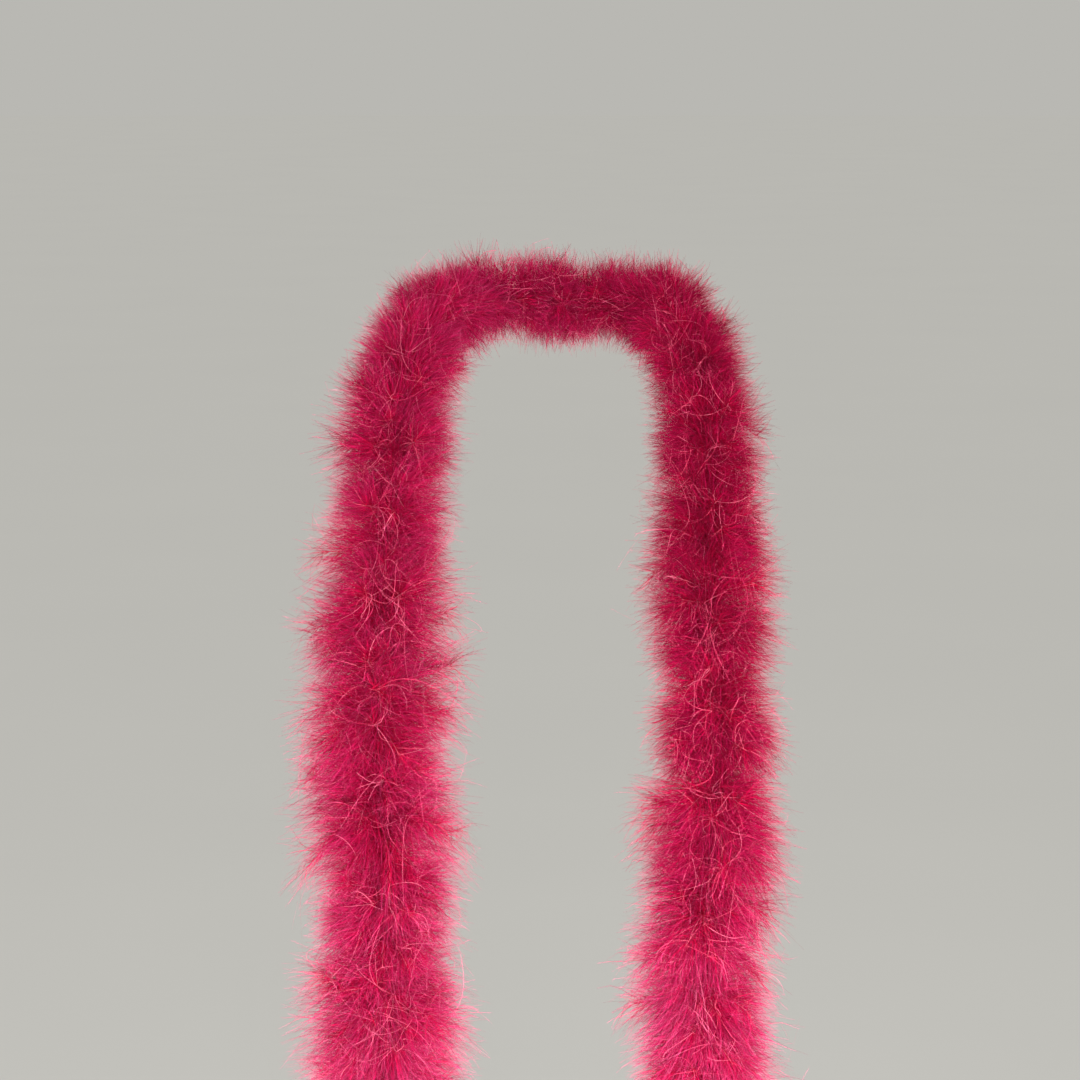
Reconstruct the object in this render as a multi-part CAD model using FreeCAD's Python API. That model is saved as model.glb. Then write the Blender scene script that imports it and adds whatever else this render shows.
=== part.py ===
"""Marabou feather boa, worn round a neck with both ends hanging down the chest.

Frame, in millimetres: +Z up, -Y the way the wearer faces, +X the wearer's left.
The origin is the centre of the wearer's neck, level with the cord at the nape.
"""

import FreeCAD
import Part
import math
import os

VEC = FreeCAD.Vector

# Whole boa
BOA_LENGTH = 1830.0  # end to end along the cord, a two-yard boa
RUFF_COUNT = 30
PITCH = BOA_LENGTH / RUFF_COUNT

# Core cord
CORD_RADIUS = 1.75
ARC_SHARE = 0.45  # share of the shorter run that an arc takes up
CUT_GAP = 1.6  # space between two lengths of cord at a flexing point

# Feather ruffs: one bunch of plumes per tie, a shallow double cone
NECK_RIM = 31.0  # rim radius where the boa is pressed against the neck
CHEST_RIM = 49.0  # rim radius on the chest and the hanging ends
PRESSED = 120.0  # length of cord each side of the nape that lies on the neck
OPENING = 220.0  # length of cord over which the rim then opens out
HUB_HALF = 20.0  # half thickness at the cord
RIM_HALF = 3.0  # half thickness at the rim
RUFF_BORE = 4.7

# Binding thread under each ruff
TIE_BORE = 1.9
TIE_RADIUS = 4.2
TIE_LENGTH = 6.0

# Quills of the plumes, bound under the thread
QUILLS_PER_TIE = 6
QUILL_LENGTH = 24.0
QUILL_ROOT_RADIUS = 0.5
QUILL_TIP_RADIUS = 0.3
QUILL_START = 2.7
QUILL_TILT = 14.0  # degrees each way out of the ruff's plane

# Finished ends
KNOT_RADIUS = 4.6
KNOT_FLAT_ANGLE = 62.0  # latitude, in degrees, at which the knot is flat top and bottom
WHIP_RADIUS = 2.9
WHIP_LENGTH = 7.0
WHIP_SETBACK = 2.0

# Route of the cord, from the wearer's right-hand end round the nape to the left-hand end
RIGHT_STRAND = [
    (-101.7, -169.2, -746.5),
    (-103.4, -170.2, -696.0),
    (-105.2, -171.2, -638.0),
    (-106.5, -172.0, -579.5),
    (-107.0, -172.7, -521.0),
    (-106.0, -173.0, -462.5),
    (-104.0, -171.6, -404.0),
    (-102.8, -165.5, -346.0),
    (-107.0, -150.5, -289.0),
    (-109.0, -131.5, -233.0),
    (-107.0, -110.0, -178.0),
    (-103.5, -86.5, -124.5),
    (-101.0, -60.0, -72.5),
    (-92.2, -25.5, -26.5),
    (-82.5, 26.0, -0.5),
    (-50.6, 69.6, 2.5),
]
NAPE = [(0.5, 86.0, 3.0)]
LEFT_STRAND = [
    (50.8, 69.2, 1.5),
    (82.0, 25.5, -1.5),
    (93.4, -26.5, -28.5),
    (100.5, -61.0, -75.0),
    (97.0, -88.0, -127.0),
    (98.0, -112.0, -180.5),
    (101.2, -134.0, -234.5),
    (100.0, -153.0, -290.5),
    (93.4, -167.0, -347.0),
    (91.2, -172.5, -405.5),
    (93.2, -173.6, -464.5),
    (95.6, -173.2, -523.5),
    (97.1, -172.4, -582.0),
    (97.4, -171.5, -640.5),
    (96.8, -170.4, -699.0),
    (95.5, -169.4, -748.5),
]

# How many ruffs each rigid length of the boa carries, in the order of the route
BODIES = [
    ("right_tail_end", 2),
    ("right_tail_mid", 2),
    ("right_tail_top", 2),
    ("collar", 18),
    ("left_tail_top", 2),
    ("left_tail_mid", 2),
    ("left_tail_end", 2),
]


def route_edges(points):
    """Straight runs joined by tangent arcs, each as large as its two runs allow."""
    corners = [VEC(*p) for p in points]
    edges = []
    start = corners[0]
    for before, corner, after in zip(corners, corners[1:], corners[2:]):
        arrive = corner - before
        leave = after - corner
        turn = arrive.getAngle(leave)
        reach = ARC_SHARE * min(arrive.Length, leave.Length)
        arrive.normalize()
        leave.normalize()
        enter = corner - arrive * reach
        exit_ = corner + leave * reach
        radius = reach / math.tan(turn / 2)
        inward = leave - arrive
        inward.normalize()
        middle = corner + inward * (radius / math.cos(turn / 2) - radius)
        print("turn %5.1f deg, radius %7.1f mm" % (math.degrees(turn), radius))
        edges.append(Part.LineSegment(start, enter).toShape())
        edges.append(Part.Arc(enter, middle, exit_).toShape())
        start = exit_
    edges.append(Part.LineSegment(start, corners[-1]).toShape())
    return edges


def place_on(edges, distance):
    """The point and the direction of the route at a distance along it."""
    for edge in edges:
        if distance <= edge.Length or edge is edges[-1]:
            at = edge.getParameterByLength(min(distance, edge.Length))
            return edge.valueAt(at), edge.tangentAt(at)
        distance -= edge.Length


def stretch_of(edges, start, end):
    """The edges of the route between two distances along it."""
    kept = []
    passed = 0.0
    for edge in edges:
        low = max(start - passed, 0.0)
        high = min(end - passed, edge.Length)
        if high - low > 0.01:
            first = edge.getParameterByLength(low)
            last = edge.getParameterByLength(high)
            kept.append(edge.Curve.toShape(first, last))
        passed += edge.Length
    return kept


def tube_along(edges, radius):
    """A solid round cord along the given edges."""
    wire = Part.Wire(edges)
    origin = edges[0].valueAt(edges[0].FirstParameter)
    heading = edges[0].tangentAt(edges[0].FirstParameter)
    section = Part.Wire([Part.makeCircle(radius, origin, heading)])
    tube = wire.makePipeShell([section], True, False)
    ratio = tube.Volume / (math.pi * radius**2 * wire.Length)
    print("cord of %6.1f mm, volume over section times length %.4f" % (wire.Length, ratio))
    return tube


def turned_to(shape, position, heading):
    """A shape made about +Z at the origin, moved so that its axis lies along heading."""
    moved = shape.copy()
    turn = FreeCAD.Placement(position, FreeCAD.Rotation(VEC(0, 0, 1), heading))
    moved.Placement = turn.multiply(shape.Placement)
    return moved


def ring(inner, outer, length):
    """A round sleeve centred on the origin, about +Z."""
    base = VEC(0, 0, -length / 2)
    return Part.makeCylinder(outer, length, base).cut(Part.makeCylinder(inner, length, base))


def ruff(rim):
    """A shallow double cone with a rounded rim and a bore for the cord."""
    lower_hub = VEC(RUFF_BORE, 0, -HUB_HALF)
    upper_hub = VEC(RUFF_BORE, 0, HUB_HALF)
    lower_rim = VEC(rim - RIM_HALF, 0, -RIM_HALF)
    upper_rim = VEC(rim - RIM_HALF, 0, RIM_HALF)
    outline = [
        Part.LineSegment(upper_hub, lower_hub).toShape(),
        Part.LineSegment(lower_hub, lower_rim).toShape(),
        Part.Arc(lower_rim, VEC(rim, 0, 0), upper_rim).toShape(),
        Part.LineSegment(upper_rim, upper_hub).toShape(),
    ]
    face = Part.Face(Part.Wire(outline))
    return face.revolve(VEC(0, 0, 0), VEC(0, 0, 1), 360)


def quills():
    """The quills of one bunch of plumes, leaning to either side of its plane by turns."""
    rods = []
    for index in range(QUILLS_PER_TIE):
        tilt = QUILL_TILT if index % 2 else -QUILL_TILT
        rod = Part.makeCone(QUILL_ROOT_RADIUS, QUILL_TIP_RADIUS, QUILL_LENGTH)
        rod.rotate(VEC(0, 0, 0), VEC(0, 1, 0), 90 - tilt)
        rod.translate(VEC(QUILL_START, 0, 0))
        rod.rotate(VEC(0, 0, 0), VEC(0, 0, 1), 360.0 * index / QUILLS_PER_TIE)
        rods.append(rod)
    return rods


def end_knot():
    """A round stopper knot that starts flat against the cord's end, along +Z."""
    middle = VEC(0, 0, KNOT_RADIUS * math.sin(math.radians(KNOT_FLAT_ANGLE)))
    upright = VEC(0, 0, 1)
    return Part.makeSphere(KNOT_RADIUS, middle, upright, -KNOT_FLAT_ANGLE, KNOT_FLAT_ANGLE)


def save(name, solids):
    """One named piece, or a group of identical ones, as its own file."""
    shape = solids[0] if len(solids) == 1 else Part.makeCompound(solids)
    shape.exportStep("parts/%s.step" % name)


os.makedirs("parts", exist_ok=True)
route = route_edges(RIGHT_STRAND + NAPE + LEFT_STRAND)
total = sum(edge.Length for edge in route)
print("route %.1f mm for a boa of %.1f mm" % (total, BOA_LENGTH))
nape_at = total / 2

cord_start = 0.0
ruff_number = 0
for body, ruffs in BODIES:
    cord_end = min(cord_start + ruffs * PITCH, total)
    if body == BODIES[-1][0]:
        cord_end = total
    low = cord_start + (CUT_GAP / 2 if cord_start > 0 else 0.0)
    high = cord_end - (CUT_GAP / 2 if cord_end < total else 0.0)
    save("cord_%s" % body, [tube_along(stretch_of(route, low, high), CORD_RADIUS)])
    ties = []
    rods = []
    for _ in range(ruffs):
        ruff_number += 1
        along = (ruff_number - 0.5) * PITCH
        spot, heading = place_on(route, along)
        opened = min(max((abs(along - nape_at) - PRESSED) / OPENING, 0.0), 1.0)
        rim = NECK_RIM + (CHEST_RIM - NECK_RIM) * opened
        save("ruff_%02d" % ruff_number, [turned_to(ruff(rim), spot, heading)])
        ties.append(turned_to(ring(TIE_BORE, TIE_RADIUS, TIE_LENGTH), spot, heading))
        rods += [turned_to(rod, spot, heading) for rod in quills()]
    save("ties_%s" % body, ties)
    save("quills_%s" % body, rods)
    pivot, heading = place_on(route, cord_end)
    print("%s ends at %.1f mm: %.1f %.1f %.1f" % (body, cord_end, pivot.x, pivot.y, pivot.z))
    cord_start = cord_end

for side, distance, outward in (("right", 0.0, -1), ("left", total, 1)):
    spot, heading = place_on(route, distance)
    outwards = heading * outward
    save("knot_%s" % side, [turned_to(end_knot(), spot, outwards)])
    whip_at = distance - outward * (WHIP_SETBACK + WHIP_LENGTH / 2)
    spot, heading = place_on(route, whip_at)
    save("whipping_%s" % side, [turned_to(ring(TIE_BORE, WHIP_RADIUS, WHIP_LENGTH), spot, heading)])
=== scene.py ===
"""Marabou feather boa round a neck: the looks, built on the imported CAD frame.

Row frame in metres: +Z up, -Y the way the wearer faces, +X the wearer's left.
The boa is a core cord with plumes bound to it at 30 ties. Each plume is a soft
quill that carries long loose barbs, and every barb is a thin tapering ribbon.
"""

import math

import bpy
import numpy as np
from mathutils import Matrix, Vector


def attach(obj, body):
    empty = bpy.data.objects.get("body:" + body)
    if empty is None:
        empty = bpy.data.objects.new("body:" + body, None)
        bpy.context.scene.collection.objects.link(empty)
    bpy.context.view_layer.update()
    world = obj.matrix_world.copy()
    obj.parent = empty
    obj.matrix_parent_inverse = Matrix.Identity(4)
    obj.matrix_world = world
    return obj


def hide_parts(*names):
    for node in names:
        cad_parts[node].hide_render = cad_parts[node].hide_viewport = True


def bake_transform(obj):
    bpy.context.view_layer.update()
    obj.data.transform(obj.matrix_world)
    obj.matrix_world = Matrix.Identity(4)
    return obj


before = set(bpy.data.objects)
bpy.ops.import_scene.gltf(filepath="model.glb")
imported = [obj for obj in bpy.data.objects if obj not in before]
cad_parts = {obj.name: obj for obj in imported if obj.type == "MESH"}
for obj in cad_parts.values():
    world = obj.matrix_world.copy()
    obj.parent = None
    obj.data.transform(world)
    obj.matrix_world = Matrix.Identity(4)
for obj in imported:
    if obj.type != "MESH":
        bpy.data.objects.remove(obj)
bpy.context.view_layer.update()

# ---------------------------------------------------------------- dimensions
RUFFS = 30
CORD_DIAMETER = 0.0035
CORD_STEP = 0.002
PLY_RADIUS = 0.00088
PLY_PITCH = 0.0105
PLY_STEP = 0.0008
THREAD_THICKNESS = 0.00045
THREAD_STEP = 0.00012
TIE_LENGTH = 0.006
TIE_RADIUS = 0.0024
WHIPPING_LENGTH = 0.007
WHIPPING_RADIUS = 0.0022
WHIPPING_FROM_END = 0.0055
KNOT_POINTS = 64
KNOT_STRAND = 0.00125
KNOT_LOOP = 0.0030
KNOT_WAVE = 0.0011
KNOT_DEPTH = 0.0017
KNOT_PAST_END = 0.0040

ROUTE = [
    (-0.1017, -0.1692, -0.7465),
    (-0.1034, -0.1702, -0.6960),
    (-0.1052, -0.1712, -0.6380),
    (-0.1065, -0.1720, -0.5795),
    (-0.1070, -0.1727, -0.5210),
    (-0.1060, -0.1730, -0.4625),
    (-0.1040, -0.1716, -0.4040),
    (-0.1028, -0.1655, -0.3460),
    (-0.1070, -0.1505, -0.2890),
    (-0.1090, -0.1315, -0.2330),
    (-0.1070, -0.1100, -0.1780),
    (-0.1035, -0.0865, -0.1245),
    (-0.1010, -0.0600, -0.0725),
    (-0.0922, -0.0255, -0.0265),
    (-0.0825, 0.0260, -0.0005),
    (-0.0506, 0.0696, 0.0025),
    (0.0005, 0.0860, 0.0030),
    (0.0508, 0.0692, 0.0015),
    (0.0820, 0.0255, -0.0015),
    (0.0934, -0.0265, -0.0285),
    (0.1005, -0.0610, -0.0750),
    (0.0970, -0.0880, -0.1270),
    (0.0980, -0.1120, -0.1805),
    (0.1012, -0.1340, -0.2345),
    (0.1000, -0.1530, -0.2905),
    (0.0934, -0.1670, -0.3470),
    (0.0912, -0.1725, -0.4055),
    (0.0932, -0.1736, -0.4645),
    (0.0956, -0.1732, -0.5235),
    (0.0971, -0.1724, -0.5820),
    (0.0974, -0.1715, -0.6405),
    (0.0968, -0.1704, -0.6990),
    (0.0955, -0.1694, -0.7485),
]

# Ruffs carried by each body, in the order of the route
BODIES = [
    ("right_tail_end", 2),
    ("right_tail_mid", 2),
    ("right_tail_top", 2),
    ("collar", 18),
    ("left_tail_top", 2),
    ("left_tail_mid", 2),
    ("left_tail_end", 2),
]

# Down of one ruff. The plumes follow each other round the cord by the golden angle.
PLUMES = 40
GOLDEN_ANGLE = 2.39996
QUILL_LENGTH = (0.42, 0.75)
QUILL_RADII = (0.00042, 0.00012)
QUILL_POINTS = 7
BARBS = 190
CURLS = 9
UNDERDOWN = 2200
BARB_POINTS = 6
CURL_POINTS = 12
UNDERDOWN_POINTS = 5
BARB_WIDTH = 0.00027
UNDERDOWN_WIDTH = 0.00034
UNDERDOWN_LENGTH = (0.012, 0.036)
UNDERDOWN_FULL = 0.045
WISP_REACH = 0.019
WISP_SHARE = 0.26
END_SQUASH = 2.0
END_MARGIN = 0.001

# Distance from the nape, negative towards the right hand end, in millimetres, and how far
# the dense down reaches from the cord there, in millimetres. END_TAPER is the length of cord,
# in metres, over which the down grows from each end.
REACH_FROM_NAPE = (-660, -610, -570, -510, -450, -385, -330, -250, -200, -120)
REACH_FROM_NAPE += (120, 170, 260, 305, 350, 400, 460, 510, 610, 660)
REACH = (52, 58, 57, 49, 54, 60, 52, 42, 45, 35)
REACH += (35, 42, 42, 53, 46, 46, 53, 51, 52, 52)
END_TAPER = 0.06

# Distance from the nape, how far from the cord any tip may stand there, and how much of
# the pitch the quills are rooted over
NAPE_DISTANCE = (0.03, 0.12)
FARTHEST = (0.0415, 0.0665)
ROOTED_OVER = (0.95, 0.6)

# Distance from the nape, and how much the down hangs there
HANG_FROM_NAPE = (0.20, 0.42, 0.62, 0.76)
HANG = (0.0, 1.0, 1.15, 1.8)

# Distance from the nape, negative towards the right hand end, and the change of tint there. This is
# painted shade: the down is coloured darker round the neck and the tops of the strands, where the
# neck would shade it
PAINTED_SHADE_FROM_NAPE = (-0.60, -0.35, 0.0, 0.10, 0.42, 0.55)
PAINTED_SHADE = (0.0, -0.12, -0.16, -0.30, -0.26, 0.0)

# How much the painted shade near the neck changes the colour that the tips reach, beside the tint
TIP_PAINTED_SHADE = 1.3

# Half the width of one ribbon on the colour map, and half the length of cord on either side of a
# joint between two bodies, about which the line is sampled for the ruff at that joint
MAP_HALF_WIDTH = 0.004
FADE = 0.03

UP = np.array([0.0, 0.0, 1.0])


# ---------------------------------------------------------------- the route
def route_line(points):
    """The points of the smooth line that has the route's points as its control points."""
    curve = bpy.data.curves.new("route", "CURVE")
    curve.dimensions = "3D"
    curve.resolution_u = 48
    spline = curve.splines.new("NURBS")
    spline.points.add(len(points) - 1)
    for point, place in zip(spline.points, points):
        point.co = (*place, 1.0)
    spline.order_u = 3
    spline.use_endpoint_u = True
    holder = bpy.data.objects.new("route", curve)
    bpy.context.scene.collection.objects.link(holder)
    bpy.context.view_layer.update()
    mesh = bpy.data.meshes.new_from_object(holder)
    line = np.zeros(len(mesh.vertices) * 3)
    mesh.vertices.foreach_get("co", line)
    bpy.data.meshes.remove(mesh)
    bpy.data.objects.remove(holder)
    bpy.data.curves.remove(curve)
    return line.reshape(-1, 3)


class Line:
    """A polyline with a direction and two steady cross directions at any distance along it."""

    def __init__(self, points):
        self.points = points
        steps = np.linalg.norm(np.diff(points, axis=0), axis=1)
        self.at = np.concatenate([[0.0], np.cumsum(steps)])
        self.length = float(self.at[-1])
        tangents = np.gradient(points, self.at, axis=0)
        self.tangents = tangents / np.linalg.norm(tangents, axis=1)[:, None]
        side = np.cross(self.tangents[0], [0.3, 1.0, 0.2])
        sides = []
        for tangent in self.tangents:
            side = side - tangent * (side @ tangent)
            side = side / np.linalg.norm(side)
            sides.append(side)
        self.sides = np.array(sides)

    def sample(self, distance):
        """Position, direction and the two cross directions, for an array of distances."""
        d = np.clip(np.asarray(distance, float), 0.0, self.length)

        def read(values):
            return np.stack([np.interp(d, self.at, values[:, i]) for i in range(3)], -1)

        tangent = unit(read(self.tangents))
        side = read(self.sides)
        side = unit(side - tangent * dot(side, tangent))
        return read(self.points), tangent, side, np.cross(tangent, side)


def unit(v):
    """The vectors, made one long."""
    return v / np.maximum(np.linalg.norm(v, axis=-1, keepdims=True), 1e-12)


def dot(a, b):
    """Dot products along the last axis, which is kept."""
    return (a * b).sum(-1, keepdims=True)


# ---------------------------------------------------------------- mesh helpers
def mesh_object(name, vertices, quads, material, **attributes):
    """A mesh object from arrays of vertices, quads and one float per vertex per attribute."""
    mesh = bpy.data.meshes.new(name)
    mesh.vertices.add(len(vertices))
    mesh.vertices.foreach_set("co", vertices.astype(np.float32).ravel())
    mesh.loops.add(quads.size)
    mesh.loops.foreach_set("vertex_index", quads.astype(np.int32).ravel())
    mesh.polygons.add(len(quads))
    mesh.polygons.foreach_set("loop_start", np.arange(len(quads), dtype=np.int32) * 4)
    mesh.polygons.foreach_set("loop_total", np.full(len(quads), 4, np.int32))
    mesh.update(calc_edges=True)
    mesh.polygons.foreach_set("use_smooth", np.full(len(quads), True))
    for key, values in attributes.items():
        layer = mesh.attributes.new(key, "FLOAT", "POINT")
        layer.data.foreach_set("value", values.astype(np.float32).ravel())
    mesh.materials.append(material)
    thing = bpy.data.objects.new(name, mesh)
    bpy.context.scene.collection.objects.link(thing)
    return thing


def ribbons(paths, widths, sides):
    """Flat tapering ribbons along paths of shape (n, k, 3), with half widths (n, k)."""
    n, k, _ = paths.shape
    left = paths - sides * widths[..., None]
    right = paths + sides * widths[..., None]
    vertices = np.stack([left, right], 2).reshape(-1, 3)
    start = (np.arange(n) * k * 2)[:, None]
    step = np.arange(k - 1)[None, :] * 2
    corners = [start + step, start + step + 1, start + step + 3, start + step + 2]
    return vertices, np.stack(corners, -1).reshape(-1, 4)


def colour_map(thing, quads, along, tint):
    """A UV map that places each ribbon by its colour: across by tint, up by place in the ramp."""
    edge = np.where(np.arange(len(tint)) % 2, MAP_HALF_WIDTH, -MAP_HALF_WIDTH)
    across = np.clip(tint, MAP_HALF_WIDTH, 1.0 - MAP_HALF_WIDTH) + edge
    places = np.stack([across, np.clip(along, 0.0, 1.0)], -1)[quads.ravel()]
    layer = thing.data.uv_layers.new(name="OFBake")
    layer.data.foreach_set("uv", places.astype(np.float32).ravel())
    return thing


def tubes(paths, radii, sides_count):
    """Round tubes along paths of shape (n, k, 3), with radii (n, k)."""
    n, k, _ = paths.shape
    tangents = unit(np.gradient(paths, axis=1))
    reference = np.where(np.abs(tangents[:, :1, 2:]) > 0.9, [[[1.0, 0.0, 0.0]]], UP)
    across = unit(np.cross(tangents, np.broadcast_to(reference, tangents.shape)))
    other = np.cross(tangents, across)
    angle = np.arange(sides_count) * 2 * math.pi / sides_count
    ring = across[:, :, None] * np.cos(angle)[:, None] + other[:, :, None] * np.sin(angle)[:, None]
    vertices = paths[:, :, None] + ring * radii[:, :, None, None]
    start = (np.arange(n) * k * sides_count)[:, None, None]
    row = (np.arange(k - 1) * sides_count)[None, :, None]
    here = np.arange(sides_count)[None, None, :]
    after = (here + 1) % sides_count
    corners = [
        start + row + here,
        start + row + after,
        start + row + after + sides_count,
        start + row + here + sides_count,
    ]
    return vertices.reshape(-1, 3), np.stack(corners, -1).reshape(-1, 4)


def join(parts):
    """Several (vertices, quads) put together."""
    vertices, quads, base = [], [], 0
    for v, q in parts:
        vertices.append(v)
        quads.append(q + base)
        base += len(v)
    return np.concatenate(vertices), np.concatenate(quads)


# ---------------------------------------------------------------- materials
def new_material(name):
    """A material with its nodes, its links and its shader."""
    material = bpy.data.materials.new(name)
    material.use_nodes = True
    nodes = material.node_tree.nodes
    return material, nodes, material.node_tree.links, nodes["Principled BSDF"]


def ramp_node(nodes, stops):
    """A colour ramp through (place, colour) stops."""
    ramp = nodes.new("ShaderNodeValToRGB")
    elements = ramp.color_ramp.elements
    while len(elements) < len(stops):
        elements.new(0.5)
    for element, (place, colour) in zip(elements, stops):
        element.position = place
        element.color = (*colour, 1.0)
    return ramp


def attribute_node(nodes, name):
    """A node that reads one attribute of the mesh."""
    node = nodes.new("ShaderNodeAttribute")
    node.attribute_name = name
    return node


def down_material():
    """Dyed down: deep crimson near the quill, hot pink along the barb, pale on the loose curls."""
    material, nodes, links, shader = new_material("feather_down")
    along = attribute_node(nodes, "along")
    tint = attribute_node(nodes, "tint")
    ramp = ramp_node(
        nodes,
        [
            (0.0, (0.46, 0.0013, 0.029)),
            (0.35, (0.54, 0.0031, 0.054)),
            (0.7, (0.62, 0.0145, 0.113)),
            (1.0, (0.65, 0.084, 0.216)),
        ],
    )
    links.new(along.outputs["Fac"], ramp.inputs["Fac"])
    # The tint sets how bright each barb is: its own random tone and, near the neck, painted shade.
    vary = nodes.new("ShaderNodeHueSaturation")
    brighten = nodes.new("ShaderNodeMapRange")
    brighten.inputs["To Min"].default_value = 0.40
    brighten.inputs["To Max"].default_value = 1.32
    links.new(tint.outputs["Fac"], brighten.inputs["Value"])
    links.new(brighten.outputs["Result"], vary.inputs["Value"])
    links.new(ramp.outputs["Color"], vary.inputs["Color"])
    paleness = nodes.new("ShaderNodeMapRange")
    paleness.inputs["From Min"].default_value = 0.82
    paleness.inputs["To Max"].default_value = 0.75
    links.new(tint.outputs["Fac"], paleness.inputs["Value"])
    pale = nodes.new("ShaderNodeMix")
    pale.data_type = "RGBA"
    links.new(paleness.outputs["Result"], pale.inputs["Factor"])
    links.new(vary.outputs["Color"], pale.inputs["A"])
    pale.inputs["B"].default_value = (0.84, 0.20, 0.33, 1.0)
    links.new(pale.outputs["Result"], shader.inputs["Base Color"])
    shader.inputs["Roughness"].default_value = 0.6
    shader.inputs["Specular IOR Level"].default_value = 0.02
    shader.inputs["Sheen Weight"].default_value = 0.03
    shader.inputs["Sheen Roughness"].default_value = 0.4
    shader.inputs["Sheen Tint"].default_value = (1.0, 0.2, 0.42, 1.0)
    return material


def quill_material():
    """Soft dyed quill: translucent-looking, darker towards the root."""
    material, nodes, links, shader = new_material("quill")
    along = attribute_node(nodes, "along")
    ramp = ramp_node(
        nodes,
        [
            (0.0, (0.45, 0.02, 0.06)),
            (0.6, (0.62, 0.05, 0.12)),
            (1.0, (0.74, 0.12, 0.2)),
        ],
    )
    links.new(along.outputs["Fac"], ramp.inputs["Fac"])
    links.new(ramp.outputs["Color"], shader.inputs["Base Color"])
    shader.inputs["Roughness"].default_value = 0.38
    return material


def fibre_material(name, dark, light, scale):
    """Twisted fibre: fine streaks along the strand, worn lighter in places."""
    material, nodes, links, shader = new_material(name)
    place = nodes.new("ShaderNodeTexCoord")
    streaks = nodes.new("ShaderNodeTexNoise")
    streaks.inputs["Scale"].default_value = scale
    streaks.inputs["Detail"].default_value = 6.0
    links.new(place.outputs["Object"], streaks.inputs["Vector"])
    ramp = ramp_node(nodes, [(0.3, dark), (0.7, light)])
    links.new(streaks.outputs["Fac"], ramp.inputs["Fac"])
    links.new(ramp.outputs["Color"], shader.inputs["Base Color"])
    bump = nodes.new("ShaderNodeBump")
    bump.inputs["Strength"].default_value = 0.5
    bump.inputs["Distance"].default_value = 0.0002
    links.new(streaks.outputs["Fac"], bump.inputs["Height"])
    links.new(bump.outputs["Normal"], shader.inputs["Normal"])
    shader.inputs["Roughness"].default_value = 0.8
    return material


def plain_material(name, low, high, scale):
    """A plain studio surface with a very faint mottling."""
    material, nodes, links, shader = new_material(name)
    place = nodes.new("ShaderNodeTexCoord")
    cloud = nodes.new("ShaderNodeTexNoise")
    cloud.inputs["Scale"].default_value = scale
    links.new(place.outputs["Object"], cloud.inputs["Vector"])
    ramp = ramp_node(nodes, [(0.3, low), (0.7, high)])
    links.new(cloud.outputs["Fac"], ramp.inputs["Fac"])
    links.new(ramp.outputs["Color"], shader.inputs["Base Color"])
    shader.inputs["Roughness"].default_value = 0.9
    return material


DOWN = down_material()
QUILL = quill_material()
CORE = fibre_material("core_cord", (0.16, 0.004, 0.02), (0.42, 0.02, 0.07), 900.0)
THREAD = fibre_material("binding_thread", (0.22, 0.006, 0.03), (0.5, 0.03, 0.1), 1600.0)


# ---------------------------------------------------------------- the down
def reach_at(distance, length):
    """How far the dense down stands out from the cord: less at the neck, rounded at the ends."""
    full = np.interp((distance - length / 2) * 1000, REACH_FROM_NAPE, REACH) / 1000
    from_end = np.clip(np.minimum(distance, length - distance) / END_TAPER, 0.0, 1.0)
    return full * (0.4 + 0.6 * np.sqrt(from_end * (2.0 - from_end)))


def painted_shade_at(distance, length):
    """How much darker the down is coloured there: painted shade near the neck."""
    return np.interp(distance - length / 2, PAINTED_SHADE_FROM_NAPE, PAINTED_SHADE)


def hanging_at(distance, length):
    """How much the down hangs: not on the neck, fully on the chest and the loose ends."""
    return np.interp(np.abs(distance - length / 2), HANG_FROM_NAPE, HANG)


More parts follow.
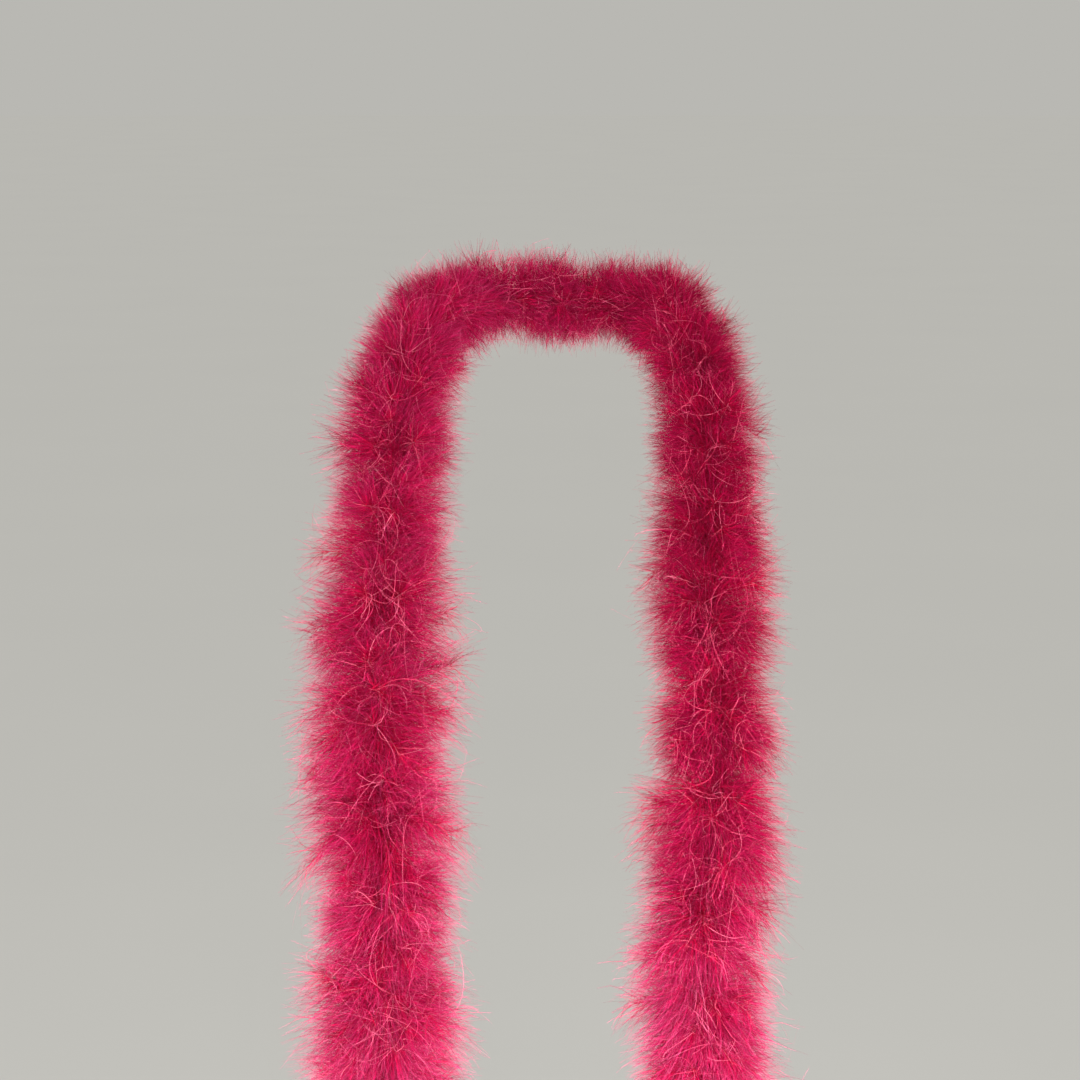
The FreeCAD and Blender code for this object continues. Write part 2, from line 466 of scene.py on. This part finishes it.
class Plumes:
    """The soft quills bound at one tie, and the down that grows from them."""

    def __init__(self, line, number):
        self.line = line
        self.rng = rng = np.random.default_rng(7000 + number)
        pitch = line.length / RUFFS
        count = np.arange(PLUMES)
        spread = ((count + rng.uniform(0.0, 1.0, PLUMES)) / PLUMES - 0.5) * pitch
        azimuth = count * GOLDEN_ANGLE + rng.normal(0.0, 0.35, PLUMES)
        self.middle = (number - 0.5) * pitch
        self.pitch = pitch
        from_nape = abs(self.middle - line.length / 2)
        rooted = np.interp(from_nape, NAPE_DISTANCE, ROOTED_OVER)
        self.root_at = np.clip(self.middle + rooted * spread, END_MARGIN, line.length - END_MARGIN)
        away = np.abs(self.root_at - line.length / 2)
        self.farthest = np.interp(away, NAPE_DISTANCE, FARTHEST)[:, None]
        self.root, self.tangent, side, other = line.sample(self.root_at)
        self.radial = side * np.cos(azimuth)[:, None] + other * np.sin(azimuth)[:, None]
        lean = (0.4 * spread / 0.03 + 0.20 + rng.normal(0.0, 0.30, PLUMES))[:, None]
        self.hang = hanging_at(self.root_at, line.length)[:, None]
        self.heading = unit(self.radial + self.tangent * lean - UP * 0.20 * self.hang)
        fullness = 1.0 + 0.10 * rng.standard_normal((PLUMES, 1)) + self.lump()
        self.reach = reach_at(self.root_at, line.length)[:, None] * fullness
        self.length = self.reach * rng.uniform(*QUILL_LENGTH, (PLUMES, 1))
        curl = unit(np.cross(self.heading, rng.normal(size=(PLUMES, 3))))
        self.bend = curl * rng.normal(0.0, 0.26, (PLUMES, 1)) - UP * 0.10 * self.hang
        self.start = self.root + self.radial * CORD_DIAMETER * 0.4
        # The tint is each plume's own random tone plus painted shade near the neck. The painted
        # shade also holds back the colour that the tips reach.
        painted_shade = painted_shade_at(self.root_at, line.length)[:, None]
        self.tint = 0.10 * rng.standard_normal((PLUMES, 1)) + painted_shade
        self.tip_colour = 1.0 + TIP_PAINTED_SHADE * painted_shade

    def lump(self):
        """Slow swelling and thinning of the down, along the boa and round it."""
        across = self.radial @ np.array([1.0, 0.6, 0.0])
        along = np.sin(self.root_at * 2 * math.pi / 0.137 + 0.9 * across)
        finer = np.sin(self.root_at * 2 * math.pi / 0.083 + 1.0 + 2.3 * across)
        return (0.03 * along + 0.04 * finer)[:, None]

    def on_quill(self, share):
        """Points at shares of the length along the quills, for shares of shape (PLUMES, m)."""
        share = share[..., None]
        body = self.heading[:, None] * share + self.bend[:, None] * share**2
        return self.start[:, None] + self.length[:, None] * body

    def quills(self):
        """The path of each quill."""
        share = np.linspace(0, 1, QUILL_POINTS)
        return self.on_quill(np.broadcast_to(share, (PLUMES, QUILL_POINTS)))

    def round_quill(self, shape):
        """Unit vectors square to each quill, all round it."""
        spin = self.rng.uniform(0, 2 * math.pi, shape)
        first = unit(np.cross(self.heading, [0.31, 0.17, 0.93]))
        second = np.cross(self.heading, first)
        return first[:, None] * np.cos(spin)[..., None] + second[:, None] * np.sin(spin)[..., None]

    def barbs(self):
        """The long loose barbs: paths, tints and the colour that the tips reach."""
        rng = self.rng
        shape = (PLUMES, BARBS)
        share = rng.beta(1.05, 1.35, shape)
        out = self.round_quill(shape)
        flare = rng.uniform(0.2, 1.0, shape) + (1.0 - share) * rng.uniform(0.0, 1.3, shape)
        leave = unit(self.heading[:, None] + out * flare[..., None])
        scale = rng.uniform(0.5, 0.95, (*shape, 1)) * (1.05 - 0.45 * share[..., None])
        target = self.radial[:, None] * 0.9 + self.heading[:, None] * 0.5 + out * 0.45
        droop = self.hang[:, None] * rng.uniform(0.05, 0.30, (*shape, 1))
        wave = rng.normal(0.0, 0.06, shape) * np.where(rng.random(shape) < 0.12, 2.5, 1.0)
        paths = self.strand(BARB_POINTS, share, leave, scale, unit(target) * 0.5 - UP * droop, wave)
        wisp = np.where(rng.random(shape) < WISP_SHARE, rng.beta(1.0, 1.5, shape), 0.05)
        short = 1.0 - 0.45 * rng.beta(1.0, 1.4, shape)
        allowed = np.minimum(self.reach * short + WISP_REACH * wisp, self.farthest)
        # Each barb's tint adds its own random tone to the plume's tint, painted shade included.
        tint = 0.40 + 0.36 * rng.standard_normal(shape) + self.tint
        return self.held_in(paths, allowed), np.clip(tint, 0.0, 0.8), self.tip_colour

    def curls(self):
        """The few pale barbs that curl across the surface, likewise."""
        rng = self.rng
        shape = (PLUMES, CURLS)
        share = rng.uniform(0.55, 1.0, shape)
        out = self.round_quill(shape)
        leave = unit(self.heading[:, None] * rng.uniform(0.1, 0.8, (*shape, 1)) + out)
        scale = rng.uniform(0.45, 0.95, (*shape, 1))
        bend = np.cross(leave, self.radial[:, None]) * rng.normal(0.0, 0.60, (*shape, 1))
        wave = rng.normal(0.0, 0.07, shape)
        bend = bend - UP * 0.12 * self.hang[:, None]
        paths = self.strand(CURL_POINTS, share, leave, scale, bend, wave)
        allowed = np.minimum(self.reach * rng.uniform(0.75, 1.12, shape), self.farthest)
        return self.held_in(paths, allowed), rng.uniform(0.86, 1.0, shape), self.tip_colour

    def strand(self, points, share, leave, scale, bend, wave):
        """Curved, slightly wavy paths that start on the quills."""
        shape = share.shape
        t = np.linspace(0, 1, points)
        tt = t[None, None, :, None]
        wave_axis = unit(np.cross(leave, self.rng.normal(size=(*shape, 3))))
        turns = self.rng.uniform(0.4, 1.1, shape)
        swing = np.sin(t[None, None] * turns[..., None] * 2 * math.pi) * wave[..., None]
        body = leave[:, :, None] * (tt - 0.42 * tt**2) + bend[:, :, None] * tt**2
        length = (self.reach[:, None] * scale)[:, :, None]
        body = body + wave_axis[:, :, None] * swing[..., None]
        return self.on_quill(share)[:, :, None] + length * body

    def held_in(self, paths, allowed):
        """The same paths, drawn in towards the cord so that no tip stands out too far."""
        plumes, each, points, _ = paths.shape
        many = each * points
        flat = paths.reshape(-1, 3)
        offset = dot(flat - self.root.repeat(many, 0), self.tangent.repeat(many, 0))[:, 0]
        near_at = np.clip(self.root_at.repeat(many) + offset, 0.0, self.line.length)
        axis, direction, _, _ = self.line.sample(near_at)
        away = flat - axis
        forward = direction * dot(away, direction)
        past_end = ((near_at <= 0.0) | (near_at >= self.line.length))[:, None]
        kept = np.where(past_end, 0.0, forward)
        drawn = away - kept
        measure = drawn + np.where(past_end, forward * (END_SQUASH - 1.0), 0.0)
        tip = np.linalg.norm(measure, axis=-1).reshape(plumes, each, points)[..., -1]
        squeeze = np.minimum(1.0, allowed / np.maximum(tip, 1e-6))
        t = np.linspace(0, 1, points)
        shrink = 1.0 + (squeeze[..., None] - 1.0) * t**1.2
        return (axis + kept + drawn * shrink.reshape(-1, 1)).reshape(paths.shape)

    def underdown(self):
        """The short dense down along the cord, which hides it, likewise."""
        rng = self.rng
        at = self.middle + rng.uniform(-0.52, 0.52, UNDERDOWN) * self.pitch
        root_at = np.clip(at, END_MARGIN, self.line.length - END_MARGIN)
        root, tangent, side, other = self.line.sample(root_at)
        azimuth = rng.uniform(0, 2 * math.pi, (UNDERDOWN, 1))
        radial = side * np.cos(azimuth) + other * np.sin(azimuth)
        leave = unit(radial + 0.75 * rng.normal(size=(UNDERDOWN, 3)))
        leave = unit(leave + radial * np.maximum(0.0, 0.25 - dot(leave, radial)))
        length = rng.uniform(*UNDERDOWN_LENGTH, (UNDERDOWN, 1))
        fullness = reach_at(at, self.line.length) / UNDERDOWN_FULL
        length = length * np.clip(fullness, 0.6, 1.0)[:, None]
        curve = np.clip(rng.normal(0.0, 0.4, (UNDERDOWN, 1)), -0.5, 0.5)
        bend = unit(np.cross(leave, rng.normal(size=(UNDERDOWN, 3)))) * curve
        t = np.linspace(0, 1, UNDERDOWN_POINTS)[None, :, None]
        body = leave[:, None] * t + (bend + radial * 0.25)[:, None] * t**2
        paths = root[:, None] + radial[:, None] * CORD_DIAMETER * 0.45 + length[:, None] * body
        return paths, np.clip(rng.normal(0.20, 0.16, UNDERDOWN), 0.0, 0.6), 0.5


def down_group(rng, width, paths, tint, tip_colour):
    """Ribbons along some strands, with their place in the colour ramp and their tint."""
    paths = paths.reshape(-1, *paths.shape[-2:])
    n, points, _ = paths.shape
    t = np.linspace(0, 1, points)
    widths = width * rng.uniform(0.7, 1.25, (n, 1)) * (1.0 - 0.70 * t**1.3) / 2
    tangents = unit(np.gradient(paths, axis=1))
    facing = unit(rng.normal(size=(n, 1, 3)))
    sides = unit(np.cross(tangents, np.broadcast_to(facing, tangents.shape)))
    along = np.repeat(np.broadcast_to(tip_colour, tint.shape).reshape(-1, 1) * t, 2)
    return *ribbons(paths, widths, sides), along, np.repeat(tint.ravel(), points * 2)


def ruff_object(line, number):
    """One ruff's down as one mesh."""
    plumes = Plumes(line, number)
    groups = [
        down_group(plumes.rng, BARB_WIDTH, *plumes.barbs()),
        down_group(plumes.rng, BARB_WIDTH, *plumes.curls()),
        down_group(plumes.rng, UNDERDOWN_WIDTH, *plumes.underdown()),
    ]
    vertices, quads = join([group[:2] for group in groups])
    along = np.concatenate([group[2] for group in groups])
    tint = np.concatenate([group[3] for group in groups])
    piece = mesh_object("plumes_%02d" % number, vertices, quads, DOWN, along=along, tint=tint)
    return colour_map(piece, quads, along, tint)


line = Line(route_line(ROUTE))
print("route", round(line.length, 4))
pitch = line.length / RUFFS
bodies_of_ruffs = [body for body, count in BODIES for _ in range(count)]
for number in range(1, RUFFS + 1):
    body = bodies_of_ruffs[number - 1]
    piece = ruff_object(line, number)
    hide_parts("ruff_%02d" % number)
    partner = None
    if number < RUFFS and bodies_of_ruffs[number] != body:
        partner, edge, toward = bodies_of_ruffs[number], number * pitch, 1
    if number > 1 and bodies_of_ruffs[number - 2] != body:
        partner, edge, toward = bodies_of_ruffs[number - 2], (number - 1) * pitch, -1
    if partner is None:
        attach(piece, body)
    else:
        fade, _, _, _ = line.sample([edge - toward * FADE, edge + toward * FADE])
        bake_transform(piece)


# ---------------------------------------------------------------- quills, cord, ties
def strands(line, start, end, plies, orbit, radius, pitch_length, step):
    """Twisted plies round a stretch of the line, as tube vertices and quads."""
    count = max(int((end - start) / step), 8)
    at = np.linspace(start, end, count)
    place, _, side, other = line.sample(at)
    paths = []
    for ply in range(plies):
        turn = at / pitch_length * 2 * math.pi + ply * 2 * math.pi / plies
        paths.append(place + orbit * (side * np.cos(turn)[:, None] + other * np.sin(turn)[:, None]))
    radii = np.full((plies, count), radius)
    radii[:, 0] = radius * 0.3
    radii[:, -1] = radius * 0.3
    return tubes(np.array(paths), radii, 8)


def wound_thread(line, middle, length, radius, thickness):
    """Thread wound round the cord, turn beside turn, over a short length."""
    start = middle - length / 2
    end = middle + length / 2
    return strands(line, start, end, 1, radius, thickness, thickness * 1.9, THREAD_STEP)


reached = 0
cords = {}
for body, count in BODIES:
    numbers = range(reached + 1, reached + count + 1)
    start = reached * pitch
    end = (reached + count) * pitch
    rods, rod_along, ties = [], [], []
    for number in numbers:
        quill_paths = Plumes(line, number).quills()
        n, k, _ = quill_paths.shape
        radii = np.linspace(*QUILL_RADII, k)[None].repeat(n, 0)
        rods.append(tubes(quill_paths, radii, 5))
        rod_along.append(np.tile(np.repeat(np.linspace(0, 1, k), 5), n))
        middle = (number - 0.5) * pitch
        ties.append(wound_thread(line, middle, TIE_LENGTH, TIE_RADIUS, THREAD_THICKNESS))
    vertices, quads = join(rods)
    along = np.concatenate(rod_along)
    piece = mesh_object("quill_bunches_" + body, vertices, quads, QUILL, along=along)
    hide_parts("quills_" + body)
    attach(piece, body)
    piece = mesh_object("thread_ties_" + body, *join(ties), THREAD)
    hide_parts("ties_" + body)
    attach(piece, body)
    piece = mesh_object(
        "core_rope_" + body,
        *strands(line, start, end, 2, PLY_RADIUS, PLY_RADIUS, PLY_PITCH, PLY_STEP),
        CORE,
    )
    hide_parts("cord_" + body)
    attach(piece, body)
    cords[body] = (piece, start, end)
    reached += count

for side_name, at, outward in (("right", 0.0, -1), ("left", line.length, 1)):
    body = side_name + "_tail_end"
    place, tangent, side, other = (value[0] for value in line.sample([at]))
    t = np.linspace(0, 2 * math.pi, KNOT_POINTS)
    loop = KNOT_LOOP + KNOT_WAVE * np.cos(3 * t)
    knot = (
        place
        + outward * tangent * KNOT_PAST_END
        + side * (loop * np.cos(2 * t))[:, None]
        + other * (loop * np.sin(2 * t))[:, None]
        + tangent * (KNOT_DEPTH * np.sin(3 * t))[:, None]
    )
    radii = np.full((1, KNOT_POINTS), KNOT_STRAND)
    piece = mesh_object("stopper_knot_" + side_name, *tubes(knot[None], radii, 10), CORE)
    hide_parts("knot_" + side_name)
    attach(piece, body)
    middle = at - outward * WHIPPING_FROM_END
    winding = wound_thread(line, middle, WHIPPING_LENGTH, WHIPPING_RADIUS, THREAD_THICKNESS)
    whip = mesh_object("thread_whipping_" + side_name, *winding, THREAD)
    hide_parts("whipping_" + side_name)
    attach(whip, body)

for body, (piece, start, end) in cords.items():
    points = max(int((end - start) / CORD_STEP), 20)
    path, _, _, _ = line.sample(np.linspace(start, end, points))
    # The route climbs on the right strand. Turned round, its lengths start at their upper ends.
    if body.startswith("right"):
        path = path[::-1]

# ---------------------------------------------------------------- stage, light, camera
FLOOR_RADIUS = 40.0
FLOOR_HEIGHT = -1.15
MIDDLE = (0.0, -0.1, -0.35)
LOW = (0.04, -0.17, -0.6)

# Name, place, target, width, power in watts and spread in degrees of each soft lamp
LAMPS = [
    ("key", (-1.2, -2.5, 0.9), MIDDLE, 1.6, 30.0, 180.0),
    ("fill", (1.1, -2.5, -0.1), MIDDLE, 1.6, 9.0, 180.0),
    ("low_fill", (0.2, -2.4, -0.1), LOW, 0.8, 15.0, 50.0),
    ("back", (0.5, 2.4, 0.8), MIDDLE, 1.6, 2.0, 180.0),
    ("top", (0.0, 0.4, 2.0), MIDDLE, 1.6, 4.0, 180.0),
]

CAMERA_PLACE = (-0.0085, -2.0, 0.193)
CAMERA_PITCH = 9.7
CAMERA_FOV = 19.9

FLOOR = plain_material("studio_floor", (0.190, 0.188, 0.178), (0.200, 0.198, 0.187), 1.5)
floor_shader = FLOOR.node_tree.nodes["Principled BSDF"]
floor_shader.inputs["Emission Color"].default_value = (0.390, 0.385, 0.363, 1.0)
floor_shader.inputs["Emission Strength"].default_value = 1.0
floor_shader.inputs["Specular IOR Level"].default_value = 0.0
bpy.ops.mesh.primitive_circle_add(
    vertices=96, radius=FLOOR_RADIUS, fill_type="NGON", location=(0, 0, FLOOR_HEIGHT)
)
floor = bpy.context.object
floor.name = "floor"
floor.data.materials.append(FLOOR)

world = bpy.data.worlds.new("studio")
bpy.context.scene.world = world
world.use_nodes = True
world.node_tree.nodes["Background"].inputs["Color"].default_value = (0.485, 0.479, 0.451, 1.0)
world.node_tree.nodes["Background"].inputs["Strength"].default_value = 1.0


def area_light(name, place, target, size, power, spread):
    """A square soft lamp turned to a target, itself out of sight."""
    data = bpy.data.lights.new(name, "AREA")
    data.shape = "SQUARE"
    data.size = size
    data.energy = power
    data.spread = math.radians(spread)
    lamp = bpy.data.objects.new(name, data)
    lamp.location = place
    lamp.rotation_euler = (Vector(target) - Vector(place)).to_track_quat("-Z", "Y").to_euler()
    lamp.visible_camera = False
    bpy.context.scene.collection.objects.link(lamp)


for lamp in LAMPS:
    area_light(*lamp)

view = bpy.data.cameras.new("camera")
view.sensor_fit = "HORIZONTAL"
view.angle = math.radians(CAMERA_FOV)
view.clip_end = 200.0
camera = bpy.data.objects.new("camera", view)
camera.location = CAMERA_PLACE
camera.rotation_euler = (math.radians(90.0 - CAMERA_PITCH), 0.0, 0.0)
bpy.context.scene.collection.objects.link(camera)
bpy.context.scene.camera = camera
bpy.context.scene.view_settings.view_transform = "Standard"
